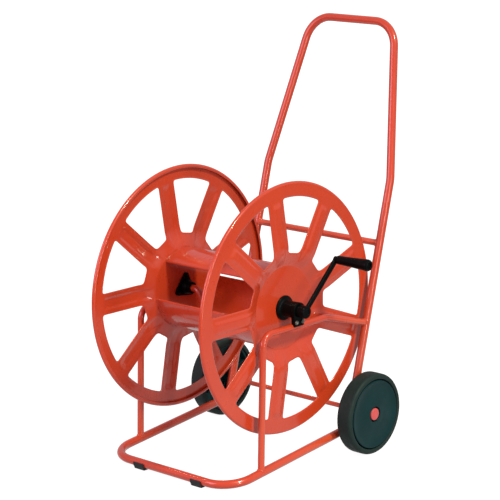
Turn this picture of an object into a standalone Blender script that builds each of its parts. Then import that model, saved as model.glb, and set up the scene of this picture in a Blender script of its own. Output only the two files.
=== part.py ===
"""Garden hose reel cart.

A pierced sheet-metal reel turns in two bearings on a frame of bent tube.
The frame stands on two rubber feet and two wheels, and its rear legs rise
into a handle.  Metres, +Z up, +X to the crank side, +Y to the rear.  The
modelled coordinates start at the cart's middle plane, below the reel axis
and on the ground; CART_ORIGIN then centres the whole cart on the origin.
"""
from math import acos, cos, pi, radians, sin, tan

import bmesh
import bpy
from mathutils import Vector

# Placing
CART_ORIGIN = (-0.03185, -0.0791, 0.0)
GAP = 0.0003                 # between pieces that touch
ACROSS = (pi / 2, 0, pi / 2)  # turns a flat outline's X, Y, Z to the cart's Y, Z, X

# Frame tubes
SIDE_X = 0.197               # centre plane of base sides, posts and legs
MAIN_RADIUS = 0.010
MAIN_WALL = 0.0012
POST_RADIUS = 0.008
POST_WALL = 0.0012
CORNER_BEND = 0.070          # base and handle corners
FRONT_BAR_Y = -0.2291
FRONT_BAR_Z = 0.0138
BASE_SLOPE = 0.1042          # rise of the base sides towards the rear
LEG_Y = 0.1841               # leg centre line at ground level
LEG_SLOPE = 0.2592           # rearward lean of the legs
LEG_FOOT_Z = 0.046
HANDLE_KNEE_Z = 0.653        # where the legs begin to converge
HANDLE_TOP_Z = 1.0206
HANDLE_TOP_X = 0.130
KNEE_BEND = 0.120
POST_Y = -0.122              # post centre line at ground level
POST_SLOPE = 0.023
POST_BEND = 0.030
BEARER_Z = 0.354             # level stretch under the bearing
BEARER_END_Y = 0.110
BEARER_DROP = 0.28           # fall of the last stretch to the leg
CROSS_BAR_Z = 0.500

# Feet and wheels
FOOT_LENGTH = 0.032
FOOT_RADIUS = 0.0138
FOOT_CENTRES_X = {"left": -0.0857, "right": 0.0995}
WHEEL_Y = 0.2237
WHEEL_RADIUS = 0.100
WHEEL_X = 0.2408
AXLE_RADIUS = 0.006
AXLE_HALF_LENGTH = 0.258
TYRE_STEPS = 44
HUB_STEPS = 32

# Reel
REEL_Z = 0.3924
DISC_RADIUS = 0.300
DISC_X = 0.1765              # outer face of each disc
DISC_SHEET = 0.0015
DISC_STEPS = 56
DISH_RADIUS = 0.140          # the centre is dished towards the drum
DISH_FLOOR_RADIUS = 0.100
DISH_DEPTH = 0.015
DISC_BORE = 0.0125
OPENINGS = 9
OPENING_INNER = (0.131, 0.0196)   # distance from the axis and half width
OPENING_OUTER = (0.2613, 0.0672)  # past the spokes' ends, inside the rim sheet
OPENING_OUTER_RADIUS = 0.2698
SPOKE_END = 0.2642            # where the spokes meet the rim
OPENING_CORNER = 0.006
DRUM_RADIUS = 0.0975
DRUM_SHEET = 0.0015
DRUM_SPAN = radians(62)
DRUM_LIP = 0.003
DRUM_PLATES = {"top": 100, "lower": 220, "back": 337}

# Bearings and crank
JOURNAL_RADIUS = 0.010
JOURNAL_END = 0.221           # outer end of the left journal
NECK_RADIUS = 0.0195
BEARING_BORE = 0.0104
BEARING_RADIUS = 0.020
BEARING_X = 0.204
BEARING_HALF_WIDTH = 0.0055
BEARING_FOOT = (0.0155, 0.356)   # half width and height of its lower edge
NECK_X = 0.1978
CRANK_BOSS = (0.2102, 0.2330)     # inner and outer end
CRANK_BOSS_RADIUS = 0.015
CRANK_ANGLE = radians(43.6)
CRANK_LENGTH = 0.154
CRANK_ARM = (0.2225, 0.2295)
CRANK_ARM_HALF_WIDTH = 0.0065
GRIP_X = 0.2305
GRIP_LENGTH = 0.0955
GRIP_BORE = 0.0046
PIN_RADIUS = 0.004
BOLT_RADIUS = 0.0042
BOLT_Y = 0.0110
BOLT_Z = 0.3665

PAINT = (0.604, 0.075, 0.035, 1)
BLACK = (0.012, 0.020, 0.024, 1)


# ---------------------------------------------------------------- helpers

def clear_scene():
    for item in list(bpy.data.objects):
        bpy.data.objects.remove(item, do_unlink=True)


def make_collection(name):
    collection = bpy.data.collections.new(name)
    bpy.context.scene.collection.children.link(collection)
    return collection


def make_empty(name, location, parent=None):
    empty = bpy.data.objects.new(name, None)
    empty.location = location
    empty.parent = parent
    parts.objects.link(empty)
    return empty


def make_material(name, colour, roughness, metallic=0.0):
    material = bpy.data.materials.new(name)
    material.use_nodes = True
    shader = material.node_tree.nodes["Principled BSDF"]
    shader.inputs["Base Color"].default_value = colour
    shader.inputs["Roughness"].default_value = roughness
    shader.inputs["Metallic"].default_value = metallic
    return material


def add_part(name, mesh, material, parent, location=(0, 0, 0), rotation=(0, 0, 0)):
    part = bpy.data.objects.new(name, mesh)
    part.parent = parent
    part.location = location
    part.rotation_euler = rotation
    mesh.materials.append(material)
    parts.objects.link(part)
    return part


def smooth(mesh, angle=35):
    mesh.shade_smooth()
    mesh.set_sharp_from_angle(angle=radians(angle))


def mesh_from_curve(curve, name):
    """The curve's surface as a welded mesh; the curve itself is removed."""
    guide = bpy.data.objects.new(name, curve)
    parts.objects.link(guide)
    bpy.context.view_layer.update()
    graph = bpy.context.evaluated_depsgraph_get()
    mesh = bpy.data.meshes.new_from_object(guide.evaluated_get(graph))
    bpy.data.objects.remove(guide, do_unlink=True)
    bpy.data.curves.remove(curve)
    shape = bmesh.new()
    shape.from_mesh(mesh)
    bmesh.ops.remove_doubles(shape, verts=shape.verts, dist=0.00001)
    shape.to_mesh(mesh)
    shape.free()
    mesh.materials.clear()
    mesh.name = name
    return mesh


def bent_path(corners, bends, steps):
    """Straight runs through the corners, with an arc of the given radius at each inner one."""
    points = [Vector(corners[0])]
    for before, corner, after, radius in zip(corners, corners[1:], corners[2:], bends):
        corner = Vector(corner)
        back = (Vector(before) - corner).normalized()
        ahead = (Vector(after) - corner).normalized()
        half = acos(max(-1, min(1, back.dot(ahead)))) / 2
        centre = corner + (back + ahead).normalized() * (radius / sin(half))
        start = (corner + back * (radius / tan(half)) - centre).normalized()
        end = (corner + ahead * (radius / tan(half)) - centre).normalized()
        for step in range(steps + 1):
            points.append(centre + start.slerp(end, step / steps) * radius)
    points.append(Vector(corners[-1]))
    return points


def tube_mesh(name, path, radius, sides=12, caps=False):
    curve = bpy.data.curves.new(name, "CURVE")
    curve.dimensions = "3D"
    curve.bevel_depth = radius
    curve.bevel_resolution = sides // 2 - 2
    curve.use_fill_caps = caps
    spline = curve.splines.new("POLY")
    spline.points.add(len(path) - 1)
    for point, place in zip(spline.points, path):
        point.co = (*place, 1)
    mesh = mesh_from_curve(curve, name)
    smooth(mesh)
    return mesh


def hollow_tube(name, path, radius, wall, material, parent):
    """An open-ended tube: the outer surface with its wall added inwards."""
    part = add_part(name, tube_mesh(name, path, radius), material, parent)
    shell = part.modifiers.new("Wall", "SOLIDIFY")
    shell.thickness = wall
    shell.offset = -1
    return part


def outline_mesh(name, outlines, thickness):
    """A flat plate in the XY plane, centred on it; outlines after the first are holes."""
    curve = bpy.data.curves.new(name, "CURVE")
    curve.dimensions = "2D"
    curve.fill_mode = "BOTH"
    curve.extrude = thickness / 2
    for outline in outlines:
        spline = curve.splines.new("POLY")
        spline.use_cyclic_u = True
        spline.points.add(len(outline) - 1)
        for point, place in zip(spline.points, outline):
            point.co = (place[0], place[1], 0, 1)
    mesh = mesh_from_curve(curve, name)
    smooth(mesh)
    return mesh


def turned_part(name, profile, steps, material, parent, location, rotation, ring=False):
    """A profile of (radius, height) points turned about local Z; a ring's profile is a loop."""
    mesh = bpy.data.meshes.new(name)
    edges = [(index, index + 1) for index in range(len(profile) - 1)]
    if ring:
        edges.append((len(profile) - 1, 0))
    mesh.from_pydata([(radius, 0, height) for radius, height in profile], edges, [])
    part = add_part(name, mesh, material, parent, location, rotation)
    screw = part.modifiers.new("Turn", "SCREW")
    screw.steps = steps
    screw.render_steps = steps
    screw.use_merge_vertices = True
    screw.merge_threshold = 0.00001
    screw.use_smooth_shade = True
    return part


def arc(centre, radius, start, end, steps):
    """Points from one angle to another, both included."""
    angles = [start + (end - start) * step / steps for step in range(steps + 1)]
    return [(centre[0] + radius * cos(a), centre[1] + radius * sin(a)) for a in angles]


def circle(centre, radius, steps):
    return arc(centre, radius, 0, 2 * pi * (steps - 1) / steps, steps - 1)


def spun(outline, angle):
    """The outline turned about its origin."""
    return [(x * cos(angle) - y * sin(angle), x * sin(angle) + y * cos(angle)) for x, y in outline]


def make_cutter(name, mesh, parent, location=(0, 0, 0), rotation=(0, 0, 0)):
    cutter = bpy.data.objects.new(name, mesh)
    cutter.parent = parent
    cutter.location = location
    cutter.rotation_euler = rotation
    cutter.hide_render = True
    cutter.display_type = "WIRE"
    cutters.objects.link(cutter)
    return cutter


def rod_cutter(name, start, end, radius, parent):
    return make_cutter(name, tube_mesh(name, [Vector(start), Vector(end)], radius, 24, True), parent)


def cut(part, *tools):
    for tool in tools:
        boolean = part.modifiers.new("Cut " + tool.name, "BOOLEAN")
        boolean.operation = "DIFFERENCE"
        boolean.solver = "EXACT"
        boolean.object = tool


def sides():
    return (("left", -1), ("right", 1))


# ---------------------------------------------------------------- frame

def leg_point(side, z):
    return (side * SIDE_X, LEG_Y + LEG_SLOPE * z, z)


def base_z(y):
    return FRONT_BAR_Z + BASE_SLOPE * (y - FRONT_BAR_Y)


def base_corner(side, y):
    return (side * SIDE_X, y, base_z(y))


def frame_cutters():
    """Clearance cylinders around the tubes that others end against."""
    clear = MAIN_RADIUS + GAP
    tools = {}
    for name, side in sides():
        leg = (leg_point(side, -0.05), leg_point(side, HANDLE_KNEE_Z + 0.05))
        tools["leg_" + name] = rod_cutter("leg_cutter_" + name, *leg, clear, cart)
        base = (base_corner(side, FRONT_BAR_Y), base_corner(side, WHEEL_Y + 0.05))
        tools["base_" + name] = rod_cutter("base_cutter_" + name, *base, clear, cart)
    ends = [(x, WHEEL_Y, WHEEL_RADIUS) for x in (-WHEEL_X, WHEEL_X)]
    tools["axle"] = rod_cutter("axle_cutter", *ends, AXLE_RADIUS + GAP, cart)
    return tools


def base_tube(tools):
    rear = 0.2000
    corners = [base_corner(-1, rear), base_corner(-1, FRONT_BAR_Y)]
    corners += [base_corner(1, FRONT_BAR_Y), base_corner(1, rear)]
    path = bent_path(corners, (CORNER_BEND, CORNER_BEND), 6)
    part = hollow_tube("base_tube", path, MAIN_RADIUS, MAIN_WALL, red_paint, cart)
    cut(part, tools["leg_left"], tools["leg_right"])


def handle_tube(tools):
    def rise(side):
        top = (side * HANDLE_TOP_X, LEG_Y + LEG_SLOPE * HANDLE_TOP_Z, HANDLE_TOP_Z)
        return [leg_point(side, LEG_FOOT_Z), leg_point(side, HANDLE_KNEE_Z), top]

    corners = rise(-1) + rise(1)[::-1]
    bends = (KNEE_BEND, CORNER_BEND, CORNER_BEND, KNEE_BEND)
    path = bent_path(corners, bends, 6)
    part = hollow_tube("handle_tube", path, MAIN_RADIUS, MAIN_WALL, red_paint, cart)
    cut(part, tools["axle"])


def support_tubes(tools):
    """Each post rises from the base, bends level under the bearing and falls to the leg."""
    for name, side in sides():
        x = side * SIDE_X
        foot_z = base_z(POST_Y) + 0.002
        foot = (x, POST_Y + POST_SLOPE * foot_z, foot_z)
        bend = (x, POST_Y + POST_SLOPE * BEARER_Z, BEARER_Z)
        drop = (x, BEARER_END_Y, BEARER_Z)
        reach = (LEG_Y + LEG_SLOPE * BEARER_Z - BEARER_END_Y) / (1 + LEG_SLOPE * BEARER_DROP)
        end = (x, BEARER_END_Y + reach, BEARER_Z - BEARER_DROP * reach)
        path = bent_path([foot, bend, drop, end], (POST_BEND, POST_BEND * 2), 5)
        part = hollow_tube(name + "_support", path, POST_RADIUS, POST_WALL, red_paint, cart)
        cut(part, tools["base_" + name], tools["leg_" + name])


def cross_bar(tools):
    y = LEG_Y + LEG_SLOPE * CROSS_BAR_Z
    path = [Vector((x, y, CROSS_BAR_Z)) for x in (-SIDE_X, SIDE_X)]
    part = hollow_tube("cross_bar", path, POST_RADIUS, POST_WALL, red_paint, cart)
    cut(part, tools["leg_left"], tools["leg_right"])


def foot_pads():
    """Rubber cradles pressed on the front bar from below, each with a flat sole."""
    sole = 0.0085
    level = -(FRONT_BAR_Z)
    start = radians(15)
    inner = arc((0, 0), MAIN_RADIUS + GAP, start, -pi - start, 14)
    shoulder = radians(-38)
    outer = arc((0, 0), FOOT_RADIUS, -pi - start, -pi - shoulder, 4)
    outer += [(-sole, level), (sole, level)]
    outer += arc((0, 0), FOOT_RADIUS, shoulder, start, 4)
    for name, centre in FOOT_CENTRES_X.items():
        mesh = outline_mesh(name + "_foot_pad", [inner + outer], FOOT_LENGTH)
        place = (centre, FRONT_BAR_Y, FRONT_BAR_Z)
        add_part(name + "_foot_pad", mesh, black_rubber, cart, place, ACROSS)


def bearings():
    """A block with a round head around the journal and a foot saddled on the level tube."""
    half_foot, foot_z = BEARING_FOOT
    head = arc((0, 0), BEARING_RADIUS, radians(-20), radians(200), 16)
    outline = [(half_foot, foot_z - REEL_Z)] + head + [(-half_foot, foot_z - REEL_Z)]
    outlines = [outline, circle((0, 0), BEARING_BORE, 24)]
    for name, side in sides():
        mesh = outline_mesh(name + "_bearing", outlines, 2 * BEARING_HALF_WIDTH)
        block = add_part(name + "_bearing", mesh, black_plastic, cart, (side * BEARING_X, 0, REEL_Z), ACROSS)
        saddle = [(side * SIDE_X, y, BEARER_Z) for y in (-0.03, 0.03)]
        cut(block, rod_cutter("saddle_cutter_" + name, *saddle, POST_RADIUS + GAP, cart))
        face = BEARING_X + BEARING_HALF_WIDTH + GAP
        turn = (0, side * pi / 2, 0)
        for number, y in enumerate((-BOLT_Y, BOLT_Y), 1):
            profile = [(0, 0.0040), (0.0030, 0.0037), (BOLT_RADIUS, 0.0022), (BOLT_RADIUS, 0), (0, 0)]
            bolt = f"{name}_bearing_bolt_{number}"
            turned_part(bolt, profile, 12, zinc, cart, (side * face, y, BOLT_Z), turn)


# ---------------------------------------------------------------- wheels

def axle_and_caps():
    path = [Vector((x, WHEEL_Y, WHEEL_RADIUS)) for x in (-AXLE_HALF_LENGTH, AXLE_HALF_LENGTH)]
    mesh = tube_mesh("wheel_axle", path, AXLE_RADIUS, 16, True)
    add_part("wheel_axle", mesh, red_paint, cart)
    bore = AXLE_RADIUS + GAP
    profile = [(0, 0.0214), (0.008, 0.0213), (0.0124, 0.0208), (0.0144, 0.0200), (0.0150, 0.0188)]
    profile += [(0.0150, 0.0175), (0.009, 0.0175), (0.009, 0.0095), (bore, 0.0095), (bore, 0.0175)]
    profile.append((0, 0.0175))
    for name, side in sides():
        place = (side * WHEEL_X, WHEEL_Y, WHEEL_RADIUS)
        turned_part(name + "_axle_cap", profile, 24, red_plastic, cart, place, (0, side * pi / 2, 0))


def wheels():
    """Each wheel: a soft tyre on a dished plastic hub with a long inner sleeve."""
    half = [(0.0865, 0.0160), (0.0872, 0.0200), (0.0895, 0.0215), (0.0945, 0.0213), (0.0985, 0.0190)]
    half.append((WHEEL_RADIUS, 0.0140))
    tyre = half + [(radius, -height) for radius, height in reversed(half)]
    hub = [(0.0065, 0.008), (0.0185, 0.008), (0.0190, 0.0200), (0.0230, 0.0203), (0.0440, 0.0184)]
    hub += [(0.0620, 0.0178), (0.0740, 0.0189), (0.0808, 0.0209), (0.0830, 0.0207), (0.0842, 0.0180)]
    hub += [(0.0844, 0.0112), (0.0862, 0.0110), (0.0862, -0.015), (0.080, -0.015)]
    hub += [(0.076, -0.002), (0.050, 0.004), (0.020, 0.0), (0.016, -0.004)]
    hub += [(0.013, -0.0318), (0.0065, -0.0318)]
    for name, side in sides():
        place = (side * WHEEL_X, WHEEL_Y, WHEEL_RADIUS)
        turn = (0, side * pi / 2, 0)
        turned_part(name + "_tyre", tyre, TYRE_STEPS, black_rubber, cart, place, turn, ring=True)
        turned_part(name + "_wheel_hub", hub, HUB_STEPS, black_plastic, cart, place, turn, ring=True)


# ---------------------------------------------------------------- reel

def opening_outline():
    """One opening of a disc: straight sides that spread outwards, cut through to the rim."""
    (inner, inner_half), (outer, outer_half) = OPENING_INNER, OPENING_OUTER
    corners = [(inner, -inner_half), (outer, -outer_half), (outer, outer_half), (inner, inner_half)]
    points = []
    for index, corner in enumerate(corners):
        before = Vector(corners[index - 1])
        after = Vector(corners[(index + 1) % 4])
        corner = Vector(corner)
        start = corner + (before - corner).normalized() * OPENING_CORNER
        end = corner + (after - corner).normalized() * OPENING_CORNER
        points += [tuple(start), tuple((start + end + corner * 2) / 4), tuple(end)]
        if index == 1:
            reach = radians(12)
            rim = arc((0, 0), OPENING_OUTER_RADIUS, -reach, reach, 4)
            points += rim
    return points


def opening_cutter():
    """Nine openings, every 40 degrees from the rear, through both discs at once."""
    outline = opening_outline()
    outlines = [spun(outline, 2 * pi * number / OPENINGS) for number in range(OPENINGS)]
    mesh = outline_mesh("opening_cutter", outlines, 4 * DISC_X)
    return make_cutter("opening_cutter", mesh, reel, (0, 0, 0), ACROSS)


def reel_discs():
    """Sheet discs: a dished centre with nine spokes inside a rim curled towards the drum."""
    cutter = opening_cutter()
    centre = [(DISC_BORE, -DISH_DEPTH), (DISH_FLOOR_RADIUS, -DISH_DEPTH), (DISH_RADIUS, 0)]
    centre.append((SPOKE_END - GAP, 0))
    rim = [(SPOKE_END, 0), (0.2935, 0), (0.2980, -0.0018), (DISC_RADIUS, -0.0060)]
    rim += [(0.2985, -0.0098), (0.2950, -0.0105)]
    for name, side in sides():
        place = (side * DISC_X, 0, 0)
        turn = (0, side * pi / 2, 0)
        disc = turned_part(name + "_disc", centre, DISC_STEPS, red_paint, reel, place, turn)
        ring = turned_part(name + "_disc_rim", rim, DISC_STEPS, red_paint, reel, place, turn)
        for sheet_part in (disc, ring):
            sheet = sheet_part.modifiers.new("Sheet", "SOLIDIFY")
            sheet.thickness = DISC_SHEET
            sheet.offset = -1
        cut(disc, cutter)


def drum_plates():
    """Three curved plates between the discs, each with its long edges turned in."""
    half = DRUM_SPAN / 2
    inner = DRUM_RADIUS - DRUM_SHEET
    lip = DRUM_RADIUS - DRUM_LIP
    fold = DRUM_SHEET / DRUM_RADIUS
    outline = arc((0, 0), DRUM_RADIUS, -half, half, 12)
    outline += [(lip * cos(half), lip * sin(half))]
    outline += [(lip * cos(half - fold), lip * sin(half - fold))]
    outline += arc((0, 0), inner, half - fold, fold - half, 12)
    outline += [(lip * cos(half - fold), -lip * sin(half - fold))]
    outline += [(lip * cos(half), -lip * sin(half))]
    length = 2 * (DISC_X - DISH_DEPTH - DISC_SHEET - GAP)
    for name, angle in DRUM_PLATES.items():
        plate = f"drum_{name}_plate"
        mesh = outline_mesh(plate, [spun(outline, radians(angle))], length)
        add_part(plate, mesh, red_paint, reel, (0, 0, 0), ACROSS)


def reel_hubs():
    """Flanged hubs on the discs; each neck carries the journal that turns in its bearing."""
    seat = DISC_X - DISH_DEPTH
    inside = seat - 0.0045
    right = [(0, CRANK_BOSS[1] - 0.003), (JOURNAL_RADIUS, CRANK_BOSS[1] - 0.003), (JOURNAL_RADIUS, NECK_X)]
    bore = 0.006
    left = [(bore, JOURNAL_END), (JOURNAL_RADIUS, JOURNAL_END), (JOURNAL_RADIUS, NECK_X)]
    flange = [(NECK_RADIUS, NECK_X), (NECK_RADIUS, seat + 0.012), (0.022, seat + 0.0075)]
    flange.append((0.0295, seat + 0.003))
    flange += [(0.0295, seat + GAP), (0.0122, seat + GAP), (0.0122, inside)]
    turn = pi / 2
    turned_part("right_hub", right + flange + [(0, inside)], 24, black_plastic, reel, (0, 0, 0), (0, turn, 0))
    left_loop = left + flange + [(bore, inside)]
    turned_part("left_hub", left_loop, 24, black_plastic, reel, (0, 0, 0), (0, -turn, 0), ring=True)


def hose_connection():
    """Inside the drum a three-cornered flange holds the elbow that the hose is pushed on."""
    floor = DISC_X - DISH_DEPTH - DISC_SHEET - GAP
    flange = 0.005
    corners = []
    for degrees in (83, 203, 323):
        direction = radians(degrees)
        centre = (0.0265 * cos(direction), 0.0265 * sin(direction))
        corners += arc(centre, 0.0085, direction - radians(60), direction + radians(60), 6)
    hole = circle((0, 0), 0.0125, 24)
    mesh = outline_mesh("hose_flange", [corners, hole], flange)
    add_part("hose_flange", mesh, black_plastic, reel, (flange / 2 - floor, 0, 0), ACROSS)
    start = flange + GAP - floor
    collar = [(0.0092, 0.0230), (0.0135, 0.0230), (0.0150, 0.0215), (0.0150, 0.0130), (0.0175, 0.0090)]
    collar += [(0.0185, 0), (0.0092, 0)]
    turned_part("hose_collar", collar, 24, black_plastic, reel, (start, 0, 0), (0, pi / 2, 0), ring=True)
    corner = (start + 0.041, 0, 0)
    path = bent_path([(start + 0.002, 0, 0), corner, (start + 0.052, 0, -0.030)], (0.016,), 6)
    hollow_tube("hose_elbow", path, 0.0085, 0.0015, red_paint, reel)


def water_inlet():
    """A short generic nipple on the outside of the left journal, for the supply hose."""
    start = JOURNAL_END + GAP
    loop = [(0.006, 0.026), (0.0095, 0.026), (0.0105, 0.024), (0.0095, 0.022), (0.0095, 0.010)]
    loop += [(0.0135, 0.010), (0.0145, 0.008), (0.0145, 0), (0.006, 0)]
    turned_part("water_inlet", loop, 24, black_plastic, reel, (-start, 0, 0), (0, -pi / 2, 0), ring=True)


def crank():
    bore = JOURNAL_RADIUS + GAP
    inner, outer = CRANK_BOSS
    depth = outer - 0.0025
    boss = [(0, outer), (0.012, outer), (CRANK_BOSS_RADIUS, outer - 0.002), (CRANK_BOSS_RADIUS, inner)]
    boss += [(bore, inner), (bore, depth), (0, depth)]
    turned_part("crank_boss", boss, 24, black_plastic, reel, (0, 0, 0), (0, pi / 2, 0))
    knob = (CRANK_LENGTH * cos(CRANK_ANGLE), CRANK_LENGTH * sin(CRANK_ANGLE))
    width = CRANK_ARM_HALF_WIDTH
    end = arc((CRANK_LENGTH, 0), width + 0.0015, radians(-125), radians(125), 12)
    start = arc((0, 0), CRANK_BOSS_RADIUS + GAP, radians(25), radians(-25), 6)
    hole = circle((CRANK_LENGTH, 0), PIN_RADIUS + GAP, 16)
    outlines = [spun(start + end, CRANK_ANGLE), spun(hole, CRANK_ANGLE)]
    mesh = outline_mesh("crank_arm", outlines, CRANK_ARM[1] - CRANK_ARM[0])
    middle = (CRANK_ARM[0] + CRANK_ARM[1]) / 2
    add_part("crank_arm", mesh, black_plastic, reel, (middle, 0, 0), ACROSS)
    pivot = make_empty("grip_axis", (GRIP_X, *knob), reel)
    shoulder = GRIP_LENGTH - 0.005
    back = CRANK_ARM[0] - GRIP_X
    pin = [(0, shoulder + 0.0035), (0.0045, shoulder + 0.003), (0.0062, shoulder + 0.0015)]
    pin += [(0.0062, shoulder + 0.0005), (PIN_RADIUS, shoulder + 0.0005), (PIN_RADIUS, back), (0, back)]
    turned_part("grip_pin", pin, 16, black_plastic, pivot, (0, 0, 0), (0, pi / 2, 0))
    end = GRIP_LENGTH
    grip = [(0.0072, end - 0.0012), (0.0105, end), (0.0130, end - 0.0015), (0.0142, end - 0.0055)]
    grip += [(0.0140, end - 0.0115), (0.0132, end - 0.020), (0.0112, 0.030), (0.0104, 0.012)]
    grip += [(0.0104, 0.0025), (0.0095, 0), (GRIP_BORE, 0), (GRIP_BORE, shoulder), (0.0072, shoulder)]
    turned_part("grip", grip, 24, black_plastic, pivot, (0, 0, 0), (0, pi / 2, 0), ring=True)


# ---------------------------------------------------------------- assembly

clear_scene()
parts = make_collection("hose_reel_cart")
cutters = make_collection("cutters")
red_paint = make_material("red_paint", PAINT, 0.30)
red_plastic = make_material("red_plastic", PAINT, 0.35)
black_plastic = make_material("black_plastic", BLACK, 0.40)
black_rubber = make_material("black_rubber", (0.022, 0.028, 0.028, 1), 0.75)
zinc = make_material("zinc", (0.62, 0.62, 0.60, 1), 0.35, 1.0)

cart = make_empty("cart", CART_ORIGIN)
reel = make_empty("reel_axis", (0, 0, REEL_Z), cart)
frame_tools = frame_cutters()
base_tube(frame_tools)
handle_tube(frame_tools)
support_tubes(frame_tools)
cross_bar(frame_tools)
foot_pads()
bearings()
axle_and_caps()
wheels()
reel_discs()
drum_plates()
reel_hubs()
hose_connection()
water_inlet()
crank()
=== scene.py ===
"""Garden hose reel cart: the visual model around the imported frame, its studio and its camera.

Shapes are made in cart coordinates, which start at the cart's middle plane, below the reel
axis and on the ground, with +X to the crank side, +Y to the rear and +Z up.  ORIGIN, read
from the frame, carries them into the frame's own coordinates.  Metres.
"""
from math import acos, asin, atan2, cos, hypot, pi, radians, sin, sqrt, tan

import bmesh
import bpy
from mathutils import Matrix, Vector
from mathutils.geometry import delaunay_2d_cdt


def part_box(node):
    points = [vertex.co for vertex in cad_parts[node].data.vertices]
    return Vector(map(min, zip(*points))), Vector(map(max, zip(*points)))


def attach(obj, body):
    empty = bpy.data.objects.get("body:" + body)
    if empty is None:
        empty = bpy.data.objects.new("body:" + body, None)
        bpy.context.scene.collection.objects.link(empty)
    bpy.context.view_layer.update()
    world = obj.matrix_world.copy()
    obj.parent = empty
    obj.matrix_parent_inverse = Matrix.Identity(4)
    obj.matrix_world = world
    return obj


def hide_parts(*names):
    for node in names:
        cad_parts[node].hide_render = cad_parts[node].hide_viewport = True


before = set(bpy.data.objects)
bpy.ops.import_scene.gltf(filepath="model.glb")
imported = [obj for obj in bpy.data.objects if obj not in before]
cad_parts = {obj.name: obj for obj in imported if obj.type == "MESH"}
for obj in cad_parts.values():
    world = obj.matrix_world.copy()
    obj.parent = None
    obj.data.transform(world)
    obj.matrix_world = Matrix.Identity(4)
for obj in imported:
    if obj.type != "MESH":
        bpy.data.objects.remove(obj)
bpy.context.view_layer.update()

# Frame tubes
SIDE_X = 0.197
MAIN_RADIUS = 0.010
MAIN_WALL = 0.0012
POST_RADIUS = 0.008
CORNER_BEND = 0.070
FRONT_BAR_Y = -0.2291
FRONT_BAR_Z = 0.0138
BASE_SLOPE = 0.1042
LEG_Y = 0.1841
LEG_SLOPE = 0.2592
LEG_FOOT_Z = 0.046
HANDLE_KNEE_Z = 0.653
HANDLE_TOP_Z = 1.0206
HANDLE_TOP_X = 0.130
KNEE_BEND = 0.120
POST_Y = -0.122
POST_SLOPE = 0.023
POST_BEND = 0.030
BEARER_Z = 0.354
BEARER_END_Y = 0.110
BEARER_DROP = 0.28
CROSS_BAR_Z = 0.500

# Feet and wheels
FOOT_LENGTH = 0.032
FOOT_RADIUS = 0.0138
WHEEL_Y = 0.2237
WHEEL_RADIUS = 0.100
WHEEL_X = 0.2408
AXLE_RADIUS = 0.006
AXLE_HALF_LENGTH = 0.258

# Reel
DISC_X = 0.1765
DISC_SHEET = 0.0015
DISH_RADIUS = 0.140
DISH_FLOOR_RADIUS = 0.100
DISH_DEPTH = 0.015
DISC_BORE = 0.0125
BAND_RADIUS = 0.2935         # outer edge of the flat face, where the curl starts
OPENINGS = 9
OPENING_INNER = (0.131, 0.0196)
OPENING_OUTER = (0.2560, 0.0653)
OPENING_OUTER_RADIUS = 0.2642
OPENING_CORNER = 0.0072
DRUM_RADIUS = 0.0975
DRUM_SPAN = radians(62)
DRUM_LIP = 0.003
DRUM_PLATES = {"top": 100, "lower": 220, "back": 337}

# Bearings and crank
BEARING_X = 0.204
BEARING_HALF_WIDTH = 0.0055
BEARING_RADIUS = 0.020
BEARING_BORE = 0.0104
BEARING_FOOT = (0.0155, 0.356)
NECK_RADIUS = 0.0195
NECK_X = 0.1978
JOURNAL_RADIUS = 0.010
JOURNAL_END = 0.221
BOLT_Y = 0.0110
BOLT_Z = 0.3665
CRANK_BOSS = (0.2102, 0.2330)
CRANK_BOSS_RADIUS = 0.015
CRANK_ANGLE = radians(43.6)
CRANK_LENGTH = 0.154
CRANK_ARM = (0.2225, 0.2295)
CRANK_ARM_HALF_WIDTH = 0.0065
GRIP_X = 0.2305
GRIP_LENGTH = 0.0955
GRIP_BORE = 0.0046
PIN_RADIUS = 0.004
SEAT_CORNERS = (83, 203, 323)   # degrees round the hose flange

# Steps and limits shared by many shapes
SIDES = (("left", -1), ("right", 1))
BEND_STEPS = 14
SHARP_ANGLE = radians(38)
SOFT_ANGLE = radians(24)        # flatter corners of a profile aren't rounded

# The photograph's viewpoint
CAMERA_PLACE = (3.06057, -3.36218, 1.52380)
CAMERA_AZIMUTH, CAMERA_DIP, CAMERA_ROLL = 41.792, 12.612, -0.098   # degrees
CAMERA_LENS, CAMERA_SENSOR = 141.0, 36    # millimetres


def frame_places():
    """Where the cart's own coordinates start and how high the reel's axis lies, from the CAD."""
    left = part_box("left_tyre")[0].x
    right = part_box("right_tyre")[1].x
    low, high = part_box("right_disc_rim")
    return Vector(((left + right) / 2, (low.y + high.y) / 2, 0)), (low.z + high.z) / 2


ORIGIN, REEL_Z = frame_places()


# ------------------------ materials

def add_node(tree, kind, settings=None, **sockets):
    item = tree.nodes.new(kind)
    for name, value in (settings or {}).items():
        setattr(item, name, value)
    for name, value in sockets.items():
        item.inputs[name.replace("_", " ")].default_value = value
    return item


def noise(tree, place, scale, detail=3):
    item = add_node(tree, "ShaderNodeTexNoise", Scale=scale, Detail=detail, Roughness=0.5)
    tree.links.new(place, item.inputs["Vector"])
    return item.outputs["Fac"]


def spread(tree, value, low, high, to_low, to_high):
    """The value's range, low to high, stretched to another one."""
    item = add_node(tree, "ShaderNodeMapRange", {"interpolation_type": "SMOOTHSTEP"})
    for socket, number in zip(item.inputs[1:5], (low, high, to_low, to_high)):
        socket.default_value = number
    tree.links.new(value, item.inputs["Value"])
    return item.outputs["Result"]


def blend_colour(tree, factor, first, second):
    """Either colour is a tuple or another node's output."""
    item = add_node(tree, "ShaderNodeMix", {"data_type": "RGBA"})
    tree.links.new(factor, item.inputs["Factor"])
    for socket, colour in zip((item.inputs[6], item.inputs[7]), (first, second)):
        if isinstance(colour, tuple):
            socket.default_value = (*colour, 1)
        else:
            tree.links.new(colour, socket)
    return item.outputs[2]


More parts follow.
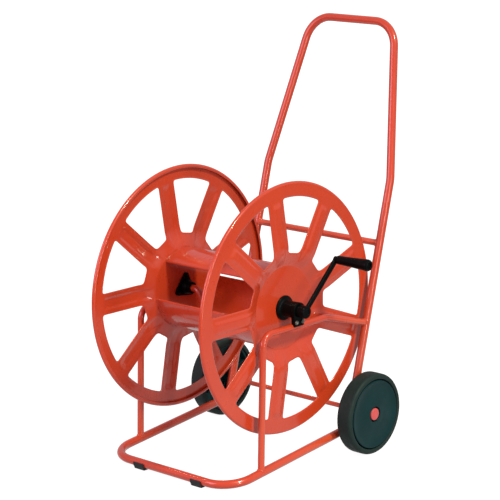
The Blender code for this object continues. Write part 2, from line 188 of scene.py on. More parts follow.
def add_bump(tree, height, strength, distance, before=None):
    item = add_node(tree, "ShaderNodeBump", Strength=strength, Distance=distance)
    tree.links.new(height, item.inputs["Height"])
    if before:
        tree.links.new(before, item.inputs["Normal"])
    return item.outputs["Normal"]


def start_material(name, **sockets):
    material = bpy.data.materials.new(name)
    material.use_nodes = True
    tree = material.node_tree
    shader = tree.nodes["Principled BSDF"]
    for socket, value in sockets.items():
        shader.inputs[socket.replace("_", " ")].default_value = value
    place = add_node(tree, "ShaderNodeTexCoord").outputs["Object"]
    return material, tree, shader, place


def painted_metal(name, colour, pale, deep):
    """Powder coat: faint orange peel and thin paint on edges."""
    material, tree, shader, place = start_material(
        name, Coat_Weight=0.85, Coat_Roughness=0.10, IOR=1.40)
    edge = add_node(tree, "ShaderNodeNewGeometry").outputs["Pointiness"]
    cloud = spread(tree, noise(tree, place, 7), 0.35, 0.65, 0.0, 0.35)
    body = blend_colour(tree, cloud, colour, deep)
    worn = spread(tree, edge, 0.52, 0.60, 0.0, 0.45)
    body = blend_colour(tree, worn, body, pale)
    speck = spread(tree, noise(tree, place, 95, 2), 0.68, 0.78, 0.0, 0.22)
    body = blend_colour(tree, speck, body, deep)
    tree.links.new(body, shader.inputs["Base Color"])
    rough = spread(tree, noise(tree, place, 38, 4), 0.3, 0.7, 0.26, 0.38)
    tree.links.new(rough, shader.inputs["Roughness"])
    peel = add_bump(tree, noise(tree, place, 420, 2), 0.30, 0.00025)
    wave = add_bump(tree, noise(tree, place, 24, 2), 0.25, 0.0012, peel)
    tree.links.new(wave, shader.inputs["Normal"])
    return material


def moulded(name, colour, pale, rough, grain, depth, sheen=0.5):
    """Moulded plastic or rubber: fine grain, a bloom of dust and rubbed edges."""
    material, tree, shader, place = start_material(name, IOR=1.48, Specular_IOR_Level=sheen)
    edge = add_node(tree, "ShaderNodeNewGeometry").outputs["Pointiness"]
    bloom = spread(tree, noise(tree, place, 18, 4), 0.40, 0.72, 0.0, 0.5)
    body = blend_colour(tree, bloom, colour, pale)
    rubbed = spread(tree, edge, 0.52, 0.60, 0.0, 0.5)
    body = blend_colour(tree, rubbed, body, pale)
    tree.links.new(body, shader.inputs["Base Color"])
    low, high = rough
    shine = spread(tree, noise(tree, place, 55, 4), 0.3, 0.7, low, high)
    tree.links.new(shine, shader.inputs["Roughness"])
    fine = add_bump(tree, noise(tree, place, grain, 2), 0.35, depth)
    flow = add_bump(tree, noise(tree, place, 40, 2), 0.2, 0.0006, fine)
    tree.links.new(flow, shader.inputs["Normal"])
    return material


def plated(name):
    """Bright zinc with a dull film and small turning marks."""
    material, tree, shader, place = start_material(name, Metallic=1.0)
    film = spread(tree, noise(tree, place, 160, 4), 0.35, 0.70, 0.0, 1.0)
    body = blend_colour(tree, film, (0.34, 0.36, 0.32), (0.19, 0.21, 0.18))
    tree.links.new(body, shader.inputs["Base Color"])
    shine = spread(tree, noise(tree, place, 220, 3), 0.3, 0.7, 0.22, 0.42)
    tree.links.new(shine, shader.inputs["Roughness"])
    marks = add_bump(tree, noise(tree, place, 900, 2), 0.3, 0.0001)
    tree.links.new(marks, shader.inputs["Normal"])
    return material


MATERIALS = {
    "red_paint": painted_metal(
        "powder_coat_red", colour=(0.545, 0.050, 0.0130), pale=(0.66, 0.100, 0.034),
        deep=(0.48, 0.038, 0.0125)),
    "red_plastic": moulded(
        "moulded_red", colour=(0.58, 0.085, 0.085), pale=(0.68, 0.15, 0.14),
        rough=(0.34, 0.46), grain=500, depth=0.0002),
    "black_plastic": moulded(
        "moulded_black", colour=(0.0015, 0.0022, 0.0026), pale=(0.0045, 0.0065, 0.0075),
        rough=(0.30, 0.44), grain=650, depth=0.0002, sheen=0.07),
    "foot_rubber": moulded(
        "foot_rubber", colour=(0.006, 0.008, 0.009), pale=(0.014, 0.018, 0.018),
        rough=(0.55, 0.75), grain=420, depth=0.0003),
    "tyre_rubber": moulded(
        "tyre_rubber", colour=(0.0085, 0.0230, 0.0210), pale=(0.018, 0.036, 0.033),
        rough=(0.50, 0.66), grain=380, depth=0.0003, sheen=0.22),
    "zinc": plated("zinc_plate"),
}
WHEEL_PLASTIC = moulded(
    "wheel_plastic", colour=(0.0005, 0.0230, 0.0260), pale=(0.0020, 0.0330, 0.0370),
    rough=(0.38, 0.50), grain=520, depth=0.0002, sheen=0.20)


# ------------------------ shape helpers

def new_object(name, data):
    item = bpy.data.objects.new(name, data)
    bpy.context.scene.collection.objects.link(item)
    return item


def mesh_of(curve):
    """The curve's surface as a welded mesh; the curve itself is removed."""
    guide = new_object(curve.name + "_guide", curve)
    bpy.context.view_layer.update()
    graph = bpy.context.evaluated_depsgraph_get()
    mesh = bpy.data.meshes.new_from_object(guide.evaluated_get(graph))
    bpy.data.objects.remove(guide, do_unlink=True)
    mesh.name = curve.name
    bpy.data.curves.remove(curve)
    weld(mesh)
    return mesh


def weld(mesh, distance=0.00001):
    shape = bmesh.new()
    shape.from_mesh(mesh)
    bmesh.ops.remove_doubles(shape, verts=shape.verts, dist=distance)
    bmesh.ops.recalc_face_normals(shape, faces=shape.faces)
    shape.to_mesh(mesh)
    shape.free()


def joined(name, meshes):
    """Several meshes as one, and the separate ones removed."""
    shape = bmesh.new()
    for mesh in meshes:
        shape.from_mesh(mesh)
        bpy.data.meshes.remove(mesh)
    whole = bpy.data.meshes.new(name)
    shape.to_mesh(whole)
    shape.free()
    return whole


def finish_piece(mesh, body, slot, nodes=(), material=None, sheet=0.0):
    """Smooths a mesh in cart coordinates and hands it over in the frame, under its own name."""
    mesh.transform(Matrix.Translation(ORIGIN))
    mesh.shade_smooth()
    mesh.set_sharp_from_angle(angle=SHARP_ANGLE)
    mesh.materials.clear()
    mesh.materials.append(material or MATERIALS[slot])
    piece = new_object(mesh.name, mesh)
    if sheet:
        wall = piece.modifiers.new("Sheet", "SOLIDIFY")
        wall.thickness = sheet
        wall.offset = -1
    even = piece.modifiers.new("Even shading", "WEIGHTED_NORMAL")
    even.keep_sharp = True
    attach(piece, body)
    if nodes:
        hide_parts(*nodes)


def bent_path(corners, bends):
    """Straight runs through the corners, with an arc of the given radius at each inner one."""
    points = [Vector(corners[0])]
    for before, corner, after, radius in zip(corners, corners[1:], corners[2:], bends):
        corner = Vector(corner)
        back = (Vector(before) - corner).normalized()
        ahead = (Vector(after) - corner).normalized()
        half = acos(max(-1, min(1, back.dot(ahead)))) / 2
        centre = corner + (back + ahead).normalized() * (radius / sin(half))
        start = (corner + back * (radius / tan(half)) - centre).normalized()
        end = (corner + ahead * (radius / tan(half)) - centre).normalized()
        for step in range(BEND_STEPS + 1):
            points.append(centre + start.slerp(end, step / BEND_STEPS) * radius)
    points.append(Vector(corners[-1]))
    return points


def tube(name, path, radius, sides=32, caps=True, swell=None, loop=False):
    """A round tube or rod along a path; swell gives each point's share of the radius."""
    curve = bpy.data.curves.new(name, "CURVE")
    curve.dimensions = "3D"
    curve.bevel_depth = radius
    curve.bevel_resolution = sides // 2 - 2
    curve.use_fill_caps = caps
    spline = curve.splines.new("POLY")
    spline.use_cyclic_u = loop
    spline.points.add(len(path) - 1)
    for index, (point, place) in enumerate(zip(spline.points, path)):
        point.co = (*place, 1)
        if swell:
            point.radius = swell[index]
    return mesh_of(curve)


def plate(name, outlines, x_low, x_high, edge):
    """Outlines in (Y, Z), holes after the first, as a plate across X with rounded edges."""
    curve = bpy.data.curves.new(name, "CURVE")
    curve.dimensions = "2D"
    curve.fill_mode = "BOTH"
    curve.extrude = (x_high - x_low) / 2 - edge
    curve.bevel_depth = edge
    curve.offset = -edge
    curve.bevel_resolution = 2
    for outline in outlines:
        spline = curve.splines.new("POLY")
        spline.use_cyclic_u = True
        spline.points.add(len(outline) - 1)
        for point, place in zip(spline.points, outline):
            point.co = (place[0], place[1], 0, 1)
    mesh = mesh_of(curve)
    across = Matrix(((0, 0, 1, 0), (1, 0, 0, 0), (0, 1, 0, 0), (0, 0, 0, 1)))
    mesh.transform(Matrix.Translation(((x_low + x_high) / 2, 0, 0)) @ across)
    return mesh


def curve_between(start, corner, stop, steps):
    """A curve that leaves for the corner and bends round to the stop, both ends included."""
    points = []
    for step in range(steps + 1):
        share = step / steps
        points.append(start.lerp(corner, share).lerp(corner.lerp(stop, share), share))
    return points


def softened(points, radius, closed):
    """The polyline with each sharp corner replaced by a small curve."""
    result = []
    count = len(points)
    for index, corner in enumerate(points):
        kept = not closed and index in (0, count - 1)
        here = Vector(corner)
        before = Vector(points[index - 1]) - here
        after = Vector(points[(index + 1) % count]) - here
        kept = kept or min(before.length, after.length) < 1e-7
        if kept or before.angle(-after) < SOFT_ANGLE:
            result.append(tuple(corner))
            continue
        start = here + before.normalized() * min(radius, before.length * 0.4)
        stop = here + after.normalized() * min(radius, after.length * 0.4)
        result += [tuple(point) for point in curve_between(start, here, stop, 4)]
    return result


def turned(name, profile, centre, side, steps, closed=False, soft=0.0006):
    """A profile of (radius, reach) turned about X through the centre; reach runs to that side."""
    points = softened(profile, soft, closed)
    vertices, rings = [], []
    for radius, reach in points:
        count = 1 if radius < 1e-6 else steps
        rings.append([len(vertices) + number % count for number in range(steps)])
        for number in range(count):
            angle = 2 * pi * number / steps
            y = centre[1] + radius * cos(angle)
            z = centre[2] + radius * sin(angle)
            vertices.append((centre[0] + side * reach, y, z))
    faces = []
    for first, second in zip(rings, rings[1:] + (rings[:1] if closed else [])):
        for number in range(steps):
            after = (number + 1) % steps
            corners = (first[number], first[after], second[after], second[number])
            corners = list(dict.fromkeys(corners))
            if len(corners) > 2:
                faces.append(corners)
    mesh = bpy.data.meshes.new(name)
    mesh.from_pydata(vertices, [], faces)
    weld(mesh, 0.000001)
    return mesh


def arc(centre, radius, start, end, steps):
    """Points from one angle to another, both included."""
    angles = [start + (end - start) * step / steps for step in range(steps + 1)]
    return [(centre[0] + radius * cos(a), centre[1] + radius * sin(a)) for a in angles]


def circle(centre, radius, steps):
    return arc(centre, radius, 0, 2 * pi * (steps - 1) / steps, steps - 1)


def spun(outline, angle):
    """The outline turned about its origin."""
    return [(x * cos(angle) - y * sin(angle), x * sin(angle) + y * cos(angle)) for x, y in outline]


def lifted(outline, y, z):
    return [(point[0] + y, point[1] + z) for point in outline]


def bead(name, path, radius, closed=False):
    """A weld bead: small overlapping ripples along the path."""
    ripple_length, ripple_height = 0.0034, 0.13
    swell = []
    travelled = 0.0
    for index, point in enumerate(path):
        if index:
            travelled += (point - path[index - 1]).length
        ripple = 1 + ripple_height * sin(2 * pi * travelled / ripple_length)
        end = min(index, len(path) - 1 - index)
        swell.append(ripple if closed else ripple * min(1, 0.35 + 0.3 * end))
    return tube(name, path, radius, 12, not closed, swell, closed)


def weld_ring(start, toward, radius, main_point, main_way):
    """Where the surface of a tube running toward a main tube meets that one's surface."""
    steps = 64
    toward = Vector(toward).normalized()
    main_way = Vector(main_way).normalized()
    across = toward.cross(main_way).normalized()
    upward = toward.cross(across)
    run = toward - main_way * toward.dot(main_way)
    points = []
    for step in range(steps):
        angle = 2 * pi * step / steps
        begin = Vector(start) + (across * cos(angle) + upward * sin(angle)) * radius
        offset = begin - Vector(main_point)
        offset -= main_way * offset.dot(main_way)
        a = run.dot(run)
        b = 2 * offset.dot(run)
        c = offset.dot(offset) - MAIN_RADIUS ** 2
        points.append(begin + toward * ((-b - sqrt(max(0, b * b - 4 * a * c))) / (2 * a)))
    return points


# ------------------------ frame tubes

def leg_point(side, z):
    return Vector((side * SIDE_X, LEG_Y + LEG_SLOPE * z, z))


def base_point(side, y):
    return Vector((side * SIDE_X, y, FRONT_BAR_Z + BASE_SLOPE * (y - FRONT_BAR_Y)))


def post_point(side, z):
    return Vector((side * SIDE_X, POST_Y + POST_SLOPE * z, z))


def base_and_handle():
    rear = 0.1992
    corners = [base_point(-1, rear), base_point(-1, FRONT_BAR_Y)]
    corners += [base_point(1, FRONT_BAR_Y), base_point(1, rear)]
    mesh = tube("base_bow", bent_path(corners, (CORNER_BEND, CORNER_BEND)), MAIN_RADIUS)
    finish_piece(mesh, "frame", "red_paint", ["base_tube"])

    def rise(side):
        top = Vector((side * HANDLE_TOP_X, LEG_Y + LEG_SLOPE * HANDLE_TOP_Z, HANDLE_TOP_Z))
        return [leg_point(side, LEG_FOOT_Z), leg_point(side, HANDLE_KNEE_Z), top]

    bends = (KNEE_BEND, CORNER_BEND, CORNER_BEND, KNEE_BEND)
    path = bent_path(rise(-1) + rise(1)[::-1], bends)
    mesh = tube("handle_bow", path, MAIN_RADIUS, caps=False)
    finish_piece(mesh, "frame", "red_paint", ["handle_tube"], sheet=MAIN_WALL)


def bearer_reach():
    """How far behind its last bend the support meets the leg."""
    return (LEG_Y + LEG_SLOPE * BEARER_Z - BEARER_END_Y) / (1 + LEG_SLOPE * BEARER_DROP)


def supports_and_bar():
    reach = bearer_reach()
    for name, side in SIDES:
        x = side * SIDE_X
        foot = post_point(side, base_point(side, POST_Y).z)
        drop = Vector((x, BEARER_END_Y, BEARER_Z))
        end = Vector((x, BEARER_END_Y + reach, BEARER_Z - BEARER_DROP * reach))
        path = bent_path([foot, post_point(side, BEARER_Z), drop, end], (POST_BEND, POST_BEND * 2))
        mesh = tube(name + "_reel_support", path, POST_RADIUS)
        finish_piece(mesh, "frame", "red_paint", [name + "_support"])
    ends = [leg_point(side, CROSS_BAR_Z) for side in (-1, 1)]
    finish_piece(tube("rear_bar", ends, POST_RADIUS), "frame", "red_paint", ["cross_bar"])


def axle_loop(side):
    """Where the axle's surface dips into the rear of a leg."""
    lean = sqrt(1 + LEG_SLOPE ** 2)
    near, far = [], []
    for step in range(-40, 41):
        angle = pi + radians(step * 1.6)
        y = WHEEL_Y + AXLE_RADIUS * cos(angle)
        z = WHEEL_RADIUS + AXLE_RADIUS * sin(angle)
        distance = (y - LEG_Y - LEG_SLOPE * z) / lean
        if distance < MAIN_RADIUS:
            half = sqrt(MAIN_RADIUS ** 2 - distance ** 2)
            near.append(Vector((side * SIDE_X - half, y, z)))
            far.append(Vector((side * SIDE_X + half, y, z)))
    return near + far[::-1]


def frame_welds():
    """A bead round every joint of two tubes, and where the axle passes each leg."""
    beads = []
    reach = 0.6 * bearer_reach()
    base_way, leg_way = (0, 1, BASE_SLOPE), (0, LEG_SLOPE, 1)
    for name, side in SIDES:
        leg, base = leg_point(side, 0), base_point(side, 0)
        bearer = (side * SIDE_X, BEARER_END_Y + reach, BEARER_Z - BEARER_DROP * reach)
        bar = leg_point(side, CROSS_BAR_Z) - Vector((side * 0.05, 0, 0))
        joints = {
            "base": (0.0021, base_point(side, 0.15), base_way, MAIN_RADIUS, leg, leg_way),
            "post": (0.0020, post_point(side, 0.08), (0, -POST_SLOPE, -1), POST_RADIUS, base, base_way),
            "bearer": (0.0020, bearer, (0, 1, -BEARER_DROP), POST_RADIUS, leg, leg_way),
            "bar": (0.0020, bar, (side, 0, 0), POST_RADIUS, leg, leg_way),
        }
        for joint, (thickness, *meeting) in joints.items():
            beads.append(bead(f"{joint}_{name}", weld_ring(*meeting), thickness, True))
        beads.append(bead("axle_" + name, axle_loop(side), 0.0014, True))
    finish_piece(joined("frame_welds", beads), "frame", "red_paint")


def foot_pads():
    """Rubber cradles pressed on the front bar from below, each with a flat ribbed sole."""
    sole, start, shoulder = 0.0085, radians(15), radians(-38)
    level, groove_top = -FRONT_BAR_Z, 0.0011 - FRONT_BAR_Z
    inner = arc((0, 0), MAIN_RADIUS + 0.0002, start, -pi - start, 40)
    outer = arc((0, 0), FOOT_RADIUS, -pi - start, -pi - shoulder, 10)
    outer.append((-sole, level))
    for groove in (-0.0066, -0.0029, 0.0029, 0.0066):
        outer += [(groove - 0.0005, level), (groove - 0.0003, groove_top)]
        outer += [(groove + 0.0003, groove_top), (groove + 0.0005, level)]
    outer.append((sole, level))
    outer += arc((0, 0), FOOT_RADIUS, shoulder, start, 10)
    outline = lifted(inner + outer, FRONT_BAR_Y, FRONT_BAR_Z)
    for name, _ in SIDES:
        low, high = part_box(name + "_foot_pad")
        middle = (low.x + high.x) / 2 - ORIGIN.x
        half = FOOT_LENGTH / 2
        mesh = plate(name + "_cradle", [outline], middle - half, middle + half, 0.0004)
        finish_piece(mesh, "frame", "foot_rubber", [name + "_foot_pad"])


# ------------------------ bearings

def x_plate(name, outlines, side, inner, outer, edge):
    """A plate between two distances from the middle plane, on the given side."""
    low, high = sorted((side * inner, side * outer))
    return plate(name, outlines, low, high, edge)


def bearings():
    """Blocks with a collar round the journal, saddled on the level tubes and bolted there."""
    half_foot, foot_z = BEARING_FOOT
    for name, side in SIDES:
        head = arc((0, REEL_Z), BEARING_RADIUS, radians(-20), radians(200), 48)
        outline = [(half_foot, foot_z)] + head + [(-half_foot, foot_z)]
        outlines = [outline, circle((0, REEL_Z), BEARING_BORE, 48)]
        inner, outer = BEARING_X - BEARING_HALF_WIDTH, BEARING_X + BEARING_HALF_WIDTH
        block = x_plate(name + "_pillow", outlines, side, inner, outer, 0.0009)
        cut_saddle(block, side)
        collar = [(0.0106, 0.0002), (0.0106, -0.001), (0.0142, -0.001), (0.0142, 0.0009), (0.0118, 0.0011)]
        ring = turned(name + "_collar", collar, (side * outer, 0, REEL_Z), side, 48, True, 0.0004)
        mesh = joined(name + "_pillow", [block, ring])
        finish_piece(mesh, "frame", "black_plastic", [name + "_bearing"])
        for number, y in enumerate((-BOLT_Y, BOLT_Y), 1):
            bolt = f"{name}_bolt_{number}"
            mesh = joined(bolt, bolt_meshes(bolt, side, outer, y, 0.5 * number))
            finish_piece(mesh, "frame", "zinc", [f"{name}_bearing_bolt_{number}"])


def cut_saddle(mesh, side):
    """Rounds the block's foot to sit on the level tube."""
    block = new_object("block", mesh)
    ends = [Vector((side * SIDE_X, y, BEARER_Z)) for y in (-0.04, 0.04)]
    rod = new_object("rod", tube("rod", ends, POST_RADIUS + 0.0001, 48))
    cut = block.modifiers.new("Saddle", "BOOLEAN")
    cut.operation = "DIFFERENCE"
    cut.solver = "EXACT"
    cut.object = rod
    bpy.context.view_layer.update()
    graph = bpy.context.evaluated_depsgraph_get()
    result = bpy.data.meshes.new_from_object(block.evaluated_get(graph))
    shape = bmesh.new()
    shape.from_mesh(result)
    shape.to_mesh(mesh)
    shape.free()
    bpy.data.objects.remove(block)
    bpy.data.objects.remove(rod)
    bpy.data.meshes.remove(result)


def bolt_meshes(name, side, face, y, turn):
    """A washer and a hexagon head with a chamfered top, against a face across X."""
    ring = circle((y, BOLT_Z), 0.0052, 32)
    washer = x_plate(name + "_washer", [ring], side, face, face + 0.0009, 0.0002)
    corners = arc((y, BOLT_Z), 0.0046, turn, turn + radians(300), 5)
    head = x_plate(name + "_head", [corners], side, face + 0.0007, face + 0.0036, 0.0004)
    top = [(0, 0.0040), (0.0030, 0.0040), (0.0036, 0.0034), (0.0036, 0.0030), (0, 0.0030)]
    crown = turned(name + "_crown", top, (side * face, y, BOLT_Z), side, 24)
    return [washer, head, crown]


# ------------------------ wheels

def wheels():
    """The axle, and at each end a tyre ring, a dished hub grooved at its edge and a red cap."""
    tyre = [(0.0868, 0.0100), (0.0866, 0.0120), (0.0866, 0.0186), (0.0874, 0.0202), (0.0890, 0.0211)]
    tyre += [(0.0912, 0.0214), (0.0934, 0.0211), (0.0956, 0.0202), (0.0976, 0.0188), (0.0990, 0.0168)]
    tyre += [(0.0997, 0.0145), (0.0998, 0.0120), (0.0999, 0.0060), (0.0999, 0.0009), (0.1000, 0.0004)]
    tyre += [(radius, -reach) for radius, reach in reversed(tyre)]
    hub = [(0.0065, 0.0080), (0.0184, 0.0080), (0.0188, 0.0196), (0.0197, 0.0204), (0.0230, 0.0203)]
    hub += [(0.0320, 0.0194), (0.0440, 0.0184), (0.0560, 0.0178), (0.0660, 0.0179), (0.0730, 0.0187)]
    hub += [(0.0785, 0.0201), (0.0808, 0.0209), (0.0826, 0.0210), (0.0837, 0.0201), (0.0842, 0.0180)]
    hub += [(0.0844, 0.0112), (0.0862, 0.0110), (0.0862, -0.0150), (0.0850, -0.0160), (0.0812, -0.0160)]
    hub += [(0.0800, -0.0150), (0.0775, -0.0050), (0.0760, -0.0020), (0.0640, 0.0014), (0.0500, 0.0040)]
    hub += [(0.0340, 0.0028), (0.0200, 0.0000), (0.0170, -0.0025), (0.0160, -0.0060), (0.0130, -0.0310)]
    hub += [(0.0120, -0.0318), (0.0065, -0.0318)]
    cap = [(0, 0.0214), (0.0080, 0.0213), (0.0122, 0.0209), (0.0142, 0.0202), (0.0150, 0.0190)]
    cap += [(0.0150, 0.0165), (0.0090, 0.0160), (0.0090, 0.0095)]
    bore = AXLE_RADIUS + 0.0003
    cap += [(bore, 0.0095), (bore, 0.0175), (0, 0.0175)]
    ends = [Vector((x, WHEEL_Y, WHEEL_RADIUS)) for x in (-AXLE_HALF_LENGTH, AXLE_HALF_LENGTH)]
    mesh = tube("axle_rod", ends, AXLE_RADIUS)
    finish_piece(mesh, "frame", "red_paint", ["wheel_axle"])
    for name, side in SIDES:
        centre = (side * WHEEL_X, WHEEL_Y, WHEEL_RADIUS)
        mesh = turned(name + "_tyre_ring", tyre, centre, side, 144, True, 0.0005)
        finish_piece(mesh, name + "_wheel", "tyre_rubber", [name + "_tyre"])
        parts = [turned(name + "_rim", hub, centre, side, 96, True, 0.0007)]
        parts += wheel_ribs(name, side, centre)
        mesh = joined(name + "_rim", parts)
        nodes = [name + "_wheel_hub"]
        finish_piece(mesh, name + "_wheel", "black_plastic", nodes, WHEEL_PLASTIC)
        mesh = turned(name + "_hub_cap", cap, centre, side, 64, False, 0.0005)
        finish_piece(mesh, "frame", "red_plastic", [name + "_axle_cap"])


def wheel_ribs(name, side, centre):
    """Stiffening ribs behind the wheel's dish."""
    ribs, count, half_thickness = [], 8, 0.0011
    corners = [(0.0155, -0.0140), (0.0300, -0.0105), (0.0600, -0.0095), (0.0785, -0.0120)]
    corners += [(0.0785, -0.0020), (0.0500, 0.0045), (0.0200, 0.0010), (0.0155, -0.0020)]
    for number in range(count):
        angle = 2 * pi * (number + 0.5) / count
        shape = bmesh.new()
        halves = []
        for half in (-half_thickness, half_thickness):
            ring = []
            for radius, reach in corners:
                y = centre[1] + radius * cos(angle) - half * sin(angle)
                z = centre[2] + radius * sin(angle) + half * cos(angle)
                ring.append(shape.verts.new((centre[0] + side * reach, y, z)))
            halves.append(ring)
        shape.faces.new(halves[0])
        shape.faces.new(halves[1][::-1])
        for index in range(len(corners)):
            after = (index + 1) % len(corners)
            shape.faces.new((halves[0][index], halves[1][index], halves[1][after], halves[0][after]))
        bmesh.ops.recalc_face_normals(shape, faces=shape.faces)
        mesh = bpy.data.meshes.new(f"{name}_rib_{number}")
        shape.to_mesh(mesh)
        shape.free()
        ribs.append(mesh)
    return ribs


# ------------------------ discs

RIB_HEIGHT = 0.0032             # ridge pressed along each spoke
RIB_START, RIB_END = 0.100, 0.262
RIB_TOP, RIB_FOOT = 0.0100, 0.0162   # half widths
CURL_CENTRE, CURL_RADIUS, CURL_SQUASH = (0.2945, -0.00525), 0.0055, 0.955

# Where the disc's mesh has its points: lines along each spoke and rings about the axis
SPOKE_LINES = (0.0, 0.0055, 0.0095, 0.0113, 0.0131, 0.0149, 0.0167)
SPOKE_LINE_ENDS, SPOKE_LINE_POINTS = (0.0995, 0.264), 38
CREASE_RINGS = (0.0978, 0.1000, 0.1022)
FLOOR_RINGS = (0.020, 0.030, 0.041, 0.053, 0.066, 0.079, 0.089)
OUTER_RINGS = (0.1060, 0.1105, 0.1150, 0.1200, 0.1255, 0.2725, 0.2780, 0.2835, 0.2885)
EDGE_TURNS = ((0, 0.0015), (0.0012, 0.0008), (0.0026, 0.0003), (0.0045, 0.0))  # (distance, depth)
EDGE_GAP = 0.005
CELL = 0.004                    # of the grid that finds near points
LEAST_GAP = 0.0026              # between a loose point and any other


def ramp(value, low, high):
    """0 below low and 1 above high, with soft shoulders."""
    share = max(0.0, min(1.0, (value - low) / (high - low)))
    return share * share * (3 - 2 * share)


def dish_height(radius):
    """Depth of the pressed centre: a flat floor, a crease, and a cone that fades into the face."""
    share = (radius - DISH_FLOOR_RADIUS) / (DISH_RADIUS - DISH_FLOOR_RADIUS)
    crease, shoulder = 0.05, 0.35
    if share < -crease:
        return -DISH_DEPTH
    if share < crease:
        return DISH_DEPTH * ((share + crease) ** 2 / (4 * crease) - 1)
    if share < 1 - shoulder:
        return DISH_DEPTH * (share - 1)
    if share < 1 + shoulder:
        return -DISH_DEPTH * (1 + shoulder - share) ** 2 / (4 * shoulder)
    return 0.0


def disc_height(y, z):
    """Height of the pressed sheet over the plane of the disc's face."""
    radius = hypot(y, z)
    step = 2 * pi / OPENINGS
    angle = atan2(z, y) % step - step / 2
    along, across = radius * cos(angle), abs(radius * sin(angle))
    rib = 1 - ramp(across, RIB_TOP, RIB_FOOT)
    rib *= ramp(along, RIB_START, RIB_START + 0.024) * (1 - ramp(along, RIB_END - 0.016, RIB_END))
    return dish_height(radius) + RIB_HEIGHT * rib


def between(start, stop):
    """Evenly spaced points strictly between two others."""
    count = max(1, round((stop - start).length / EDGE_GAP))
    return [start.lerp(stop, step / count) for step in range(1, count)]


def opening_outline():
    """One opening, centred on +Y: straight sides that spread, and an arc along the rim."""
    (inner, inner_half), (outer, outer_half) = OPENING_INNER, OPENING_OUTER
    near, far = Vector((inner, -inner_half)), Vector((outer, -outer_half))
    way = (far - near).normalized()
    bite = OPENING_CORNER
    turn = bite / OPENING_OUTER_RADIUS
    reach = atan2(outer_half, outer)
    half = curve_between(near + Vector((0, bite)), near, near + way * bite, 5)
    half += between(near + way * bite, far - way * bite)
    edge = Vector((OPENING_OUTER_RADIUS * cos(turn - reach), OPENING_OUTER_RADIUS * sin(turn - reach)))
    half += curve_between(far - way * bite, far, edge, 5)
    rim = arc((0, 0), OPENING_OUTER_RADIUS, turn - reach, reach - turn, 24)[1:-1]
    back = [Vector((point.x, -point.y)) for point in reversed(half)]
    return half + [Vector(point) for point in rim] + back + between(back[-1], half[0])


def grown(outline, distance):
    """The closed outline moved outwards by a distance."""
    points = []
    for index, point in enumerate(outline):
        way = (outline[(index + 1) % len(outline)] - outline[index - 1]).normalized()
        points.append(point + Vector((way.y, -way.x)) * distance)
    return points


def disc_layout():
    """Points, edges and holes that the disc's flat mesh is made from, with each edge's turn-in."""
    points, edges, holes, turn_in = [], [], [], {}
    taken = {}

    def cell(point):
        return round(point[0] / CELL), round(point[1] / CELL)

    def add(point):
        points.append(Vector(point[:2]))
        taken.setdefault(cell(point), []).append(points[-1])
        return len(points) - 1

    def add_loop(loop, hole=False, depth=0.0):
        indices = [add(point) for point in loop]
        edges.extend(zip(indices, indices[1:] + indices[:1]))
        if hole:
            holes.append(indices)
        if depth:
            turn_in.update((index, depth) for index in indices)
        return indices

    def crowded(point):
        column, row = cell(point)
        near = [(column + i, row + j) for i in (-1, 0, 1) for j in (-1, 0, 1)]
        others = [other for place in near for other in taken.get(place, ())]
        return any((other - Vector(point)).length < LEAST_GAP for other in others)

    rim = add_loop(circle((0, 0), BAND_RADIUS, 216))
    add_loop(circle((0, 0), DISC_BORE, 48), hole=True)
    outline = opening_outline()
    for number in range(OPENINGS):
        turn = 2 * pi * number / OPENINGS
        for distance, depth in EDGE_TURNS:
            loop = [Vector(point) for point in spun(grown(outline, distance), turn)]
            add_loop(loop, distance == 0, depth)
    for radius in CREASE_RINGS:
        add_loop(circle((0, 0), radius, 120))
    loose = []
    first, last = SPOKE_LINE_ENDS
    for number in range(OPENINGS):
        turn = 2 * pi * (number + 0.5) / OPENINGS
        for across in SPOKE_LINES:
            for step in range(SPOKE_LINE_POINTS):
                along = first + step * (last - first) / (SPOKE_LINE_POINTS - 1)
                loose += spun([(along, across), (along, -across)][:2 if across else 1], turn)
    for radius in FLOOR_RINGS:
        loose += circle((0, 0), radius, max(36, round(2 * pi * radius / 0.0055)))
    for radius in OUTER_RINGS:
        loose += circle((0, 0), radius, 3 * round(2 * pi * radius / 0.0180))
    for point in loose:
        if not crowded(point):
            add(point)
    return points, edges, holes, turn_in, rim


def disc_curl():
    """The edge rolled towards the drum, as (radius, height)."""
    curl = arc(CURL_CENTRE, CURL_RADIUS, radians(90), radians(-128), 14)
    return [(radius, height * CURL_SQUASH) for radius, height in curl]


